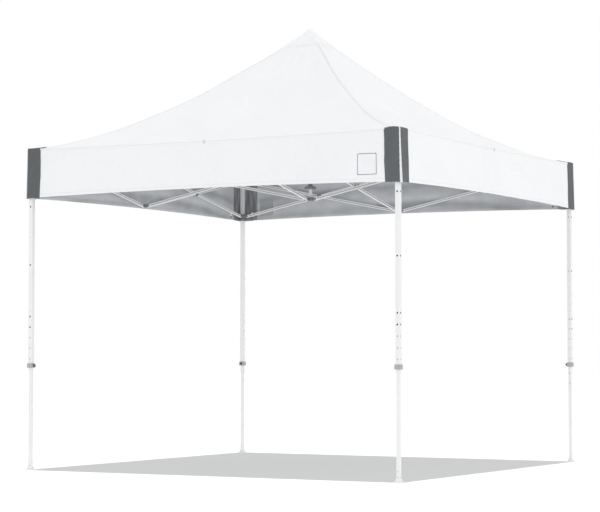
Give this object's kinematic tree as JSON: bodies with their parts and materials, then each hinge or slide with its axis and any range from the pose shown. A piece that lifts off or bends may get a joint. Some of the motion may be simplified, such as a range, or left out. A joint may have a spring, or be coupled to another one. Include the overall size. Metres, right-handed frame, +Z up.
{
  "type": "pop up canopy",
  "caption": "Folding square shade canopy: white peaked fabric top with valances over a scissor truss frame on telescoping square legs.",
  "frame": {"origin": "on the ground, under the peak, midway between the four legs", "axes": "+Z up; -Y towards the front side, the wide side in the picture; +X towards the right side"},
  "size_m": [3.028, 3.028, 3.288],
  "materials": {
    "white_frame": "satin",
    "grey_moulding": "matte",
    "light_collar": "matte",
    "dark_button": "matte",
    "white_polyester": "matte"
  },
  "bodies": {
    "hub": {"top_hub": "grey_moulding", "canopy_top": "white_polyester"},
    "centre_bar_falling_front": {"centre_bar_falling_front": "white_frame"},
    "centre_bar_rising_front": {"centre_bar_rising_front": "white_frame"},
    "mid_bottom_bracket_front": {"mid_bottom_bracket_front": "grey_moulding"},
    "mid_top_bracket_front": {"mid_top_bracket_front": "grey_moulding"},
    "side_bar_falling_front_l": {"side_bar_falling_front_l": "white_frame"},
    "side_bar_rising_front_l": {"side_bar_rising_front_l": "white_frame"},
    "leg_front_left": {"upper_leg_front_left": "white_frame", "leg_top_bracket_front_left": "grey_moulding", "collar_front_left": "light_collar"},
    "lower_leg_front_left": {"lower_leg_front_left": "white_frame"},
    "slider_front_left": {"slider_front_left": "grey_moulding"},
    "collar_latch_front_left": {"collar_latch_front_left": "dark_button"},
    "side_bar_falling_front_r": {"side_bar_falling_front_r": "white_frame"},
    "side_bar_rising_front_r": {"side_bar_rising_front_r": "white_frame"},
    "centre_bar_falling_right": {"centre_bar_falling_right": "white_frame"},
    "centre_bar_rising_right": {"centre_bar_rising_right": "white_frame"},
    "mid_bottom_bracket_right": {"mid_bottom_bracket_right": "grey_moulding"},
    "mid_top_bracket_right": {"mid_top_bracket_right": "grey_moulding"},
    "side_bar_falling_right_l": {"side_bar_falling_right_l": "white_frame"},
    "side_bar_rising_right_l": {"side_bar_rising_right_l": "white_frame"},
    "leg_front_right": {"upper_leg_front_right": "white_frame", "leg_top_bracket_front_right": "grey_moulding", "collar_front_right": "light_collar"},
    "lower_leg_front_right": {"lower_leg_front_right": "white_frame"},
    "slider_front_right": {"slider_front_right": "grey_moulding"},
    "collar_latch_front_right": {"collar_latch_front_right": "dark_button"},
    "side_bar_falling_right_r": {"side_bar_falling_right_r": "white_frame"},
    "side_bar_rising_right_r": {"side_bar_rising_right_r": "white_frame"},
    "centre_bar_falling_back": {"centre_bar_falling_back": "white_frame"},
    "centre_bar_rising_back": {"centre_bar_rising_back": "white_frame"},
    "mid_bottom_bracket_back": {"mid_bottom_bracket_back": "grey_moulding"},
    "mid_top_bracket_back": {"mid_top_bracket_back": "grey_moulding"},
    "side_bar_falling_back_l": {"side_bar_falling_back_l": "white_frame"},
    "side_bar_rising_back_l": {"side_bar_rising_back_l": "white_frame"},
    "leg_back_right": {"upper_leg_back_right": "white_frame", "leg_top_bracket_back_right": "grey_moulding", "collar_back_right": "light_collar"},
    "lower_leg_back_right": {"lower_leg_back_right": "white_frame"},
    "slider_back_right": {"slider_back_right": "grey_moulding"},
    "collar_latch_back_right": {"collar_latch_back_right": "dark_button"},
    "side_bar_falling_back_r": {"side_bar_falling_back_r": "white_frame"},
    "side_bar_rising_back_r": {"side_bar_rising_back_r": "white_frame"},
    "centre_bar_falling_left": {"centre_bar_falling_left": "white_frame"},
    "centre_bar_rising_left": {"centre_bar_rising_left": "white_frame"},
    "mid_bottom_bracket_left": {"mid_bottom_bracket_left": "grey_moulding"},
    "mid_top_bracket_left": {"mid_top_bracket_left": "grey_moulding"},
    "side_bar_falling_left_l": {"side_bar_falling_left_l": "white_frame"},
    "side_bar_rising_left_l": {"side_bar_rising_left_l": "white_frame"},
    "leg_back_left": {"upper_leg_back_left": "white_frame", "leg_top_bracket_back_left": "grey_moulding", "collar_back_left": "light_collar"},
    "lower_leg_back_left": {"lower_leg_back_left": "white_frame"},
    "slider_back_left": {"slider_back_left": "grey_moulding"},
    "collar_latch_back_left": {"collar_latch_back_left": "dark_button"},
    "side_bar_falling_left_r": {"side_bar_falling_left_r": "white_frame"},
    "side_bar_rising_left_r": {"side_bar_rising_left_r": "white_frame"},
    "lower_hub": {"lower_hub": "grey_moulding", "peak_pole": "white_frame"}
  },
  "joints": [
    {"name": "frame_fold", "type": "hinge", "parent": "hub", "child": "centre_bar_falling_front", "pos_m": [0, -0.045, 2.288], "axis": [1, 0, 0], "range_deg": [0, 75], "stiffness_Nm_per_rad": 60, "springref_deg": -143.24, "deforming": ["canopy_top"]},
    {"name": "centre_bar_rising_front_crossing", "type": "hinge", "parent": "centre_bar_falling_front", "child": "centre_bar_rising_front", "pos_m": [0, -0.75, 2.143], "axis": [-1, 0, 0], "range_deg": [0, 150]},
    {"name": "mid_bottom_bracket_front_pivot", "type": "hinge", "parent": "centre_bar_falling_front", "child": "mid_bottom_bracket_front", "pos_m": [0, -1.455, 1.998], "axis": [-1, 0, 0], "range_deg": [0, 75]},
    {"name": "mid_top_bracket_front_pivot", "type": "hinge", "parent": "centre_bar_rising_front", "child": "mid_top_bracket_front", "pos_m": [0, -1.455, 2.288], "axis": [1, 0, 0], "range_deg": [0, 75]},
    {"name": "side_bar_falling_front_l_pivot", "type": "hinge", "parent": "mid_top_bracket_front", "child": "side_bar_falling_front_l", "pos_m": [-0.03, -1.485, 2.288], "axis": [0, -1, 0], "range_deg": [0, 75]},
    {"name": "side_bar_rising_front_l_crossing", "type": "hinge", "parent": "side_bar_falling_front_l", "child": "side_bar_rising_front_l", "pos_m": [-0.735, -1.485, 2.143], "axis": [0, 1, 0], "range_deg": [0, 150]},
    {"name": "leg_front_left_pivot", "type": "hinge", "parent": "side_bar_rising_front_l", "child": "leg_front_left", "pos_m": [-1.44, -1.485, 2.288], "axis": [0, -1, 0], "range_deg": [0, 75]},
    {"name": "slider_front_left_pivot", "type": "hinge", "parent": "side_bar_falling_front_l", "child": "slider_front_left", "pos_m": [-1.44, -1.485, 1.998], "axis": [0, 1, 0], "range_deg": [0, 75]},
    {"name": "side_bar_falling_front_r_pivot", "type": "hinge", "parent": "mid_top_bracket_front", "child": "side_bar_falling_front_r", "pos_m": [0.03, -1.485, 2.288], "axis": [0, 1, 0], "range_deg": [0, 75]},
    {"name": "side_bar_rising_front_r_crossing", "type": "hinge", "parent": "side_bar_falling_front_r", "child": "side_bar_rising_front_r", "pos_m": [0.735, -1.485, 2.143], "axis": [0, -1, 0], "range_deg": [0, 150]},
    {"name": "centre_bar_falling_right_pivot", "type": "hinge", "parent": "hub", "child": "centre_bar_falling_right", "pos_m": [0.045, 0, 2.288], "axis": [0, 1, 0], "range_deg": [0, 75]},
    {"name": "centre_bar_rising_right_crossing", "type": "hinge", "parent": "centre_bar_falling_right", "child": "centre_bar_rising_right", "pos_m": [0.75, 0, 2.143], "axis": [0, -1, 0], "range_deg": [0, 150]},
    {"name": "mid_bottom_bracket_right_pivot", "type": "hinge", "parent": "centre_bar_falling_right", "child": "mid_bottom_bracket_right", "pos_m": [1.455, 0, 1.998], "axis": [0, -1, 0], "range_deg": [0, 75]},
    {"name": "mid_top_bracket_right_pivot", "type": "hinge", "parent": "centre_bar_rising_right", "child": "mid_top_bracket_right", "pos_m": [1.455, 0, 2.288], "axis": [0, 1, 0], "range_deg": [0, 75]},
    {"name": "side_bar_falling_right_l_pivot", "type": "hinge", "parent": "mid_top_bracket_right", "child": "side_bar_falling_right_l", "pos_m": [1.485, -0.03, 2.288], "axis": [1, 0, 0], "range_deg": [0, 75]},
    {"name": "side_bar_rising_right_l_crossing", "type": "hinge", "parent": "side_bar_falling_right_l", "child": "side_bar_rising_right_l", "pos_m": [1.485, -0.735, 2.143], "axis": [-1, 0, 0], "range_deg": [0, 150]},
    {"name": "leg_front_right_pivot", "type": "hinge", "parent": "side_bar_rising_right_l", "child": "leg_front_right", "pos_m": [1.485, -1.44, 2.288], "axis": [1, 0, 0], "range_deg": [0, 75]},
    {"name": "slider_front_right_pivot", "type": "hinge", "parent": "side_bar_falling_right_l", "child": "slider_front_right", "pos_m": [1.485, -1.44, 1.998], "axis": [-1, 0, 0], "range_deg": [0, 75]},
    {"name": "side_bar_falling_right_r_pivot", "type": "hinge", "parent": "mid_top_bracket_right", "child": "side_bar_falling_right_r", "pos_m": [1.485, 0.03, 2.288], "axis": [-1, 0, 0], "range_deg": [0, 75]},
    {"name": "side_bar_rising_right_r_crossing", "type": "hinge", "parent": "side_bar_falling_right_r", "child": "side_bar_rising_right_r", "pos_m": [1.485, 0.735, 2.143], "axis": [1, 0, 0], "range_deg": [0, 150]},
    {"name": "centre_bar_falling_back_pivot", "type": "hinge", "parent": "hub", "child": "centre_bar_falling_back", "pos_m": [0, 0.045, 2.288], "axis": [-1, 0, 0], "range_deg": [0, 75]},
    {"name": "centre_bar_rising_back_crossing", "type": "hinge", "parent": "centre_bar_falling_back", "child": "centre_bar_rising_back", "pos_m": [0, 0.75, 2.143], "axis": [1, 0, 0], "range_deg": [0, 150]},
    {"name": "mid_bottom_bracket_back_pivot", "type": "hinge", "parent": "centre_bar_falling_back", "child": "mid_bottom_bracket_back", "pos_m": [0, 1.455, 1.998], "axis": [1, 0, 0], "range_deg": [0, 75]},
    {"name": "mid_top_bracket_back_pivot", "type": "hinge", "parent": "centre_bar_rising_back", "child": "mid_top_bracket_back", "pos_m": [0, 1.455, 2.288], "axis": [-1, 0, 0], "range_deg": [0, 75]},
    {"name": "side_bar_falling_back_l_pivot", "type": "hinge", "parent": "mid_top_bracket_back", "child": "side_bar_falling_back_l", "pos_m": [0.03, 1.485, 2.288], "axis": [0, 1, 0], "range_deg": [0, 75]},
    {"name": "side_bar_rising_back_l_crossing", "type": "hinge", "parent": "side_bar_falling_back_l", "child": "side_bar_rising_back_l", "pos_m": [0.735, 1.485, 2.143], "axis": [0, -1, 0], "range_deg": [0, 150]},
    {"name": "leg_back_right_pivot", "type": "hinge", "parent": "side_bar_rising_back_l", "child": "leg_back_right", "pos_m": [1.44, 1.485, 2.288], "axis": [0, 1, 0], "range_deg": [0, 75]},
    {"name": "slider_back_right_pivot", "type": "hinge", "parent": "side_bar_falling_back_l", "child": "slider_back_right", "pos_m": [1.44, 1.485, 1.998], "axis": [0, -1, 0], "range_deg": [0, 75]},
    {"name": "side_bar_falling_back_r_pivot", "type": "hinge", "parent": "mid_top_bracket_back", "child": "side_bar_falling_back_r", "pos_m": [-0.03, 1.485, 2.288], "axis": [0, -1, 0], "range_deg": [0, 75]},
    {"name": "side_bar_rising_back_r_crossing", "type": "hinge", "parent": "side_bar_falling_back_r", "child": "side_bar_rising_back_r", "pos_m": [-0.735, 1.485, 2.143], "axis": [0, 1, 0], "range_deg": [0, 150]},
    {"name": "centre_bar_falling_left_pivot", "type": "hinge", "parent": "hub", "child": "centre_bar_falling_left", "pos_m": [-0.045, 0, 2.288], "axis": [0, -1, 0], "range_deg": [0, 75]},
    {"name": "centre_bar_rising_left_crossing", "type": "hinge", "parent": "centre_bar_falling_left", "child": "centre_bar_rising_left", "pos_m": [-0.75, 0, 2.143], "axis": [0, 1, 0], "range_deg": [0, 150]},
    {"name": "mid_bottom_bracket_left_pivot", "type": "hinge", "parent": "centre_bar_falling_left", "child": "mid_bottom_bracket_left", "pos_m": [-1.455, 0, 1.998], "axis": [0, 1, 0], "range_deg": [0, 75]},
    {"name": "mid_top_bracket_left_pivot", "type": "hinge", "parent": "centre_bar_rising_left", "child": "mid_top_bracket_left", "pos_m": [-1.455, 0, 2.288], "axis": [0, -1, 0], "range_deg": [0, 75]},
    {"name": "side_bar_falling_left_l_pivot", "type": "hinge", "parent": "mid_top_bracket_left", "child": "side_bar_falling_left_l", "pos_m": [-1.485, 0.03, 2.288], "axis": [-1, 0, 0], "range_deg": [0, 75]},
    {"name": "side_bar_rising_left_l_crossing", "type": "hinge", "parent": "side_bar_falling_left_l", "child": "side_bar_rising_left_l", "pos_m": [-1.485, 0.735, 2.143], "axis": [1, 0, 0], "range_deg": [0, 150]},
    {"name": "leg_back_left_pivot", "type": "hinge", "parent": "side_bar_rising_left_l", "child": "leg_back_left", "pos_m": [-1.485, 1.44, 2.288], "axis": [-1, 0, 0], "range_deg": [0, 75]},
    {"name": "slider_back_left_pivot", "type": "hinge", "parent": "side_bar_falling_left_l", "child": "slider_back_left", "pos_m": [-1.485, 1.44, 1.998], "axis": [1, 0, 0], "range_deg": [0, 75]},
    {"name": "side_bar_falling_left_r_pivot", "type": "hinge", "parent": "mid_top_bracket_left", "child": "side_bar_falling_left_r", "pos_m": [-1.485, -0.03, 2.288], "axis": [1, 0, 0], "range_deg": [0, 75]},
    {"name": "side_bar_rising_left_r_crossing", "type": "hinge", "parent": "side_bar_falling_left_r", "child": "side_bar_rising_left_r", "pos_m": [-1.485, -0.735, 2.143], "axis": [-1, 0, 0], "range_deg": [0, 150]},
    {"name": "lower_hub_pivot", "type": "hinge", "parent": "centre_bar_rising_front", "child": "lower_hub", "pos_m": [0, -0.045, 1.998], "axis": [1, 0, 0], "range_deg": [0, 75]},
    {"name": "lower_leg_front_left_slide", "type": "slide", "parent": "leg_front_left", "child": "lower_leg_front_left", "axis": [0, 0, 1], "range_m": [0, 0.6], "stiffness_N_per_m": 60, "springref_m": -2},
    {"name": "collar_latch_front_left_pull", "type": "slide", "parent": "leg_front_left", "child": "collar_latch_front_left", "axis": [1, 0, 0], "range_m": [0, 0.006], "stiffness_N_per_m": 400},
    {"name": "lower_leg_front_right_slide", "type": "slide", "parent": "leg_front_right", "child": "lower_leg_front_right", "axis": [0, 0, 1], "range_m": [0, 0.6], "stiffness_N_per_m": 60, "springref_m": -2},
    {"name": "collar_latch_front_right_pull", "type": "slide", "parent": "leg_front_right", "child": "collar_latch_front_right", "axis": [0, 1, 0], "range_m": [0, 0.006], "stiffness_N_per_m": 400},
    {"name": "lower_leg_back_right_slide", "type": "slide", "parent": "leg_back_right", "child": "lower_leg_back_right", "axis": [0, 0, 1], "range_m": [0, 0.6], "stiffness_N_per_m": 60, "springref_m": -2},
    {"name": "collar_latch_back_right_pull", "type": "slide", "parent": "leg_back_right", "child": "collar_latch_back_right", "axis": [-1, 0, 0], "range_m": [0, 0.006], "stiffness_N_per_m": 400},
    {"name": "lower_leg_back_left_slide", "type": "slide", "parent": "leg_back_left", "child": "lower_leg_back_left", "axis": [0, 0, 1], "range_m": [0, 0.6], "stiffness_N_per_m": 60, "springref_m": -2},
    {"name": "collar_latch_back_left_pull", "type": "slide", "parent": "leg_back_left", "child": "collar_latch_back_left", "axis": [0, -1, 0], "range_m": [0, 0.006], "stiffness_N_per_m": 400}
  ],
  "couplings": [
    {"joint": "centre_bar_rising_front_crossing", "follows": "frame_fold", "ratio": 2},
    {"joint": "mid_bottom_bracket_front_pivot", "follows": "frame_fold", "ratio": 1},
    {"joint": "mid_top_bracket_front_pivot", "follows": "frame_fold", "ratio": 1},
    {"joint": "side_bar_falling_front_l_pivot", "follows": "frame_fold", "ratio": 1},
    {"joint": "side_bar_rising_front_l_crossing", "follows": "frame_fold", "ratio": 2},
    {"joint": "leg_front_left_pivot", "follows": "frame_fold", "ratio": 1},
    {"joint": "slider_front_left_pivot", "follows": "frame_fold", "ratio": 1},
    {"joint": "side_bar_falling_front_r_pivot", "follows": "frame_fold", "ratio": 1},
    {"joint": "side_bar_rising_front_r_crossing", "follows": "frame_fold", "ratio": 2},
    {"joint": "centre_bar_falling_right_pivot", "follows": "frame_fold", "ratio": 1},
    {"joint": "centre_bar_rising_right_crossing", "follows": "frame_fold", "ratio": 2},
    {"joint": "mid_bottom_bracket_right_pivot", "follows": "frame_fold", "ratio": 1},
    {"joint": "mid_top_bracket_right_pivot", "follows": "frame_fold", "ratio": 1},
    {"joint": "side_bar_falling_right_l_pivot", "follows": "frame_fold", "ratio": 1},
    {"joint": "side_bar_rising_right_l_crossing", "follows": "frame_fold", "ratio": 2},
    {"joint": "leg_front_right_pivot", "follows": "frame_fold", "ratio": 1},
    {"joint": "slider_front_right_pivot", "follows": "frame_fold", "ratio": 1},
    {"joint": "side_bar_falling_right_r_pivot", "follows": "frame_fold", "ratio": 1},
    {"joint": "side_bar_rising_right_r_crossing", "follows": "frame_fold", "ratio": 2},
    {"joint": "centre_bar_falling_back_pivot", "follows": "frame_fold", "ratio": 1},
    {"joint": "centre_bar_rising_back_crossing", "follows": "frame_fold", "ratio": 2},
    {"joint": "mid_bottom_bracket_back_pivot", "follows": "frame_fold", "ratio": 1},
    {"joint": "mid_top_bracket_back_pivot", "follows": "frame_fold", "ratio": 1},
    {"joint": "side_bar_falling_back_l_pivot", "follows": "frame_fold", "ratio": 1},
    {"joint": "side_bar_rising_back_l_crossing", "follows": "frame_fold", "ratio": 2},
    {"joint": "leg_back_right_pivot", "follows": "frame_fold", "ratio": 1},
    {"joint": "slider_back_right_pivot", "follows": "frame_fold", "ratio": 1},
    {"joint": "side_bar_falling_back_r_pivot", "follows": "frame_fold", "ratio": 1},
    {"joint": "side_bar_rising_back_r_crossing", "follows": "frame_fold", "ratio": 2},
    {"joint": "centre_bar_falling_left_pivot", "follows": "frame_fold", "ratio": 1},
    {"joint": "centre_bar_rising_left_crossing", "follows": "frame_fold", "ratio": 2},
    {"joint": "mid_bottom_bracket_left_pivot", "follows": "frame_fold", "ratio": 1},
    {"joint": "mid_top_bracket_left_pivot", "follows": "frame_fold", "ratio": 1},
    {"joint": "side_bar_falling_left_l_pivot", "follows": "frame_fold", "ratio": 1},
    {"joint": "side_bar_rising_left_l_crossing", "follows": "frame_fold", "ratio": 2},
    {"joint": "leg_back_left_pivot", "follows": "frame_fold", "ratio": 1},
    {"joint": "slider_back_left_pivot", "follows": "frame_fold", "ratio": 1},
    {"joint": "side_bar_falling_left_r_pivot", "follows": "frame_fold", "ratio": 1},
    {"joint": "side_bar_rising_left_r_crossing", "follows": "frame_fold", "ratio": 2},
    {"joint": "lower_hub_pivot", "follows": "frame_fold", "ratio": 1}
  ]
}
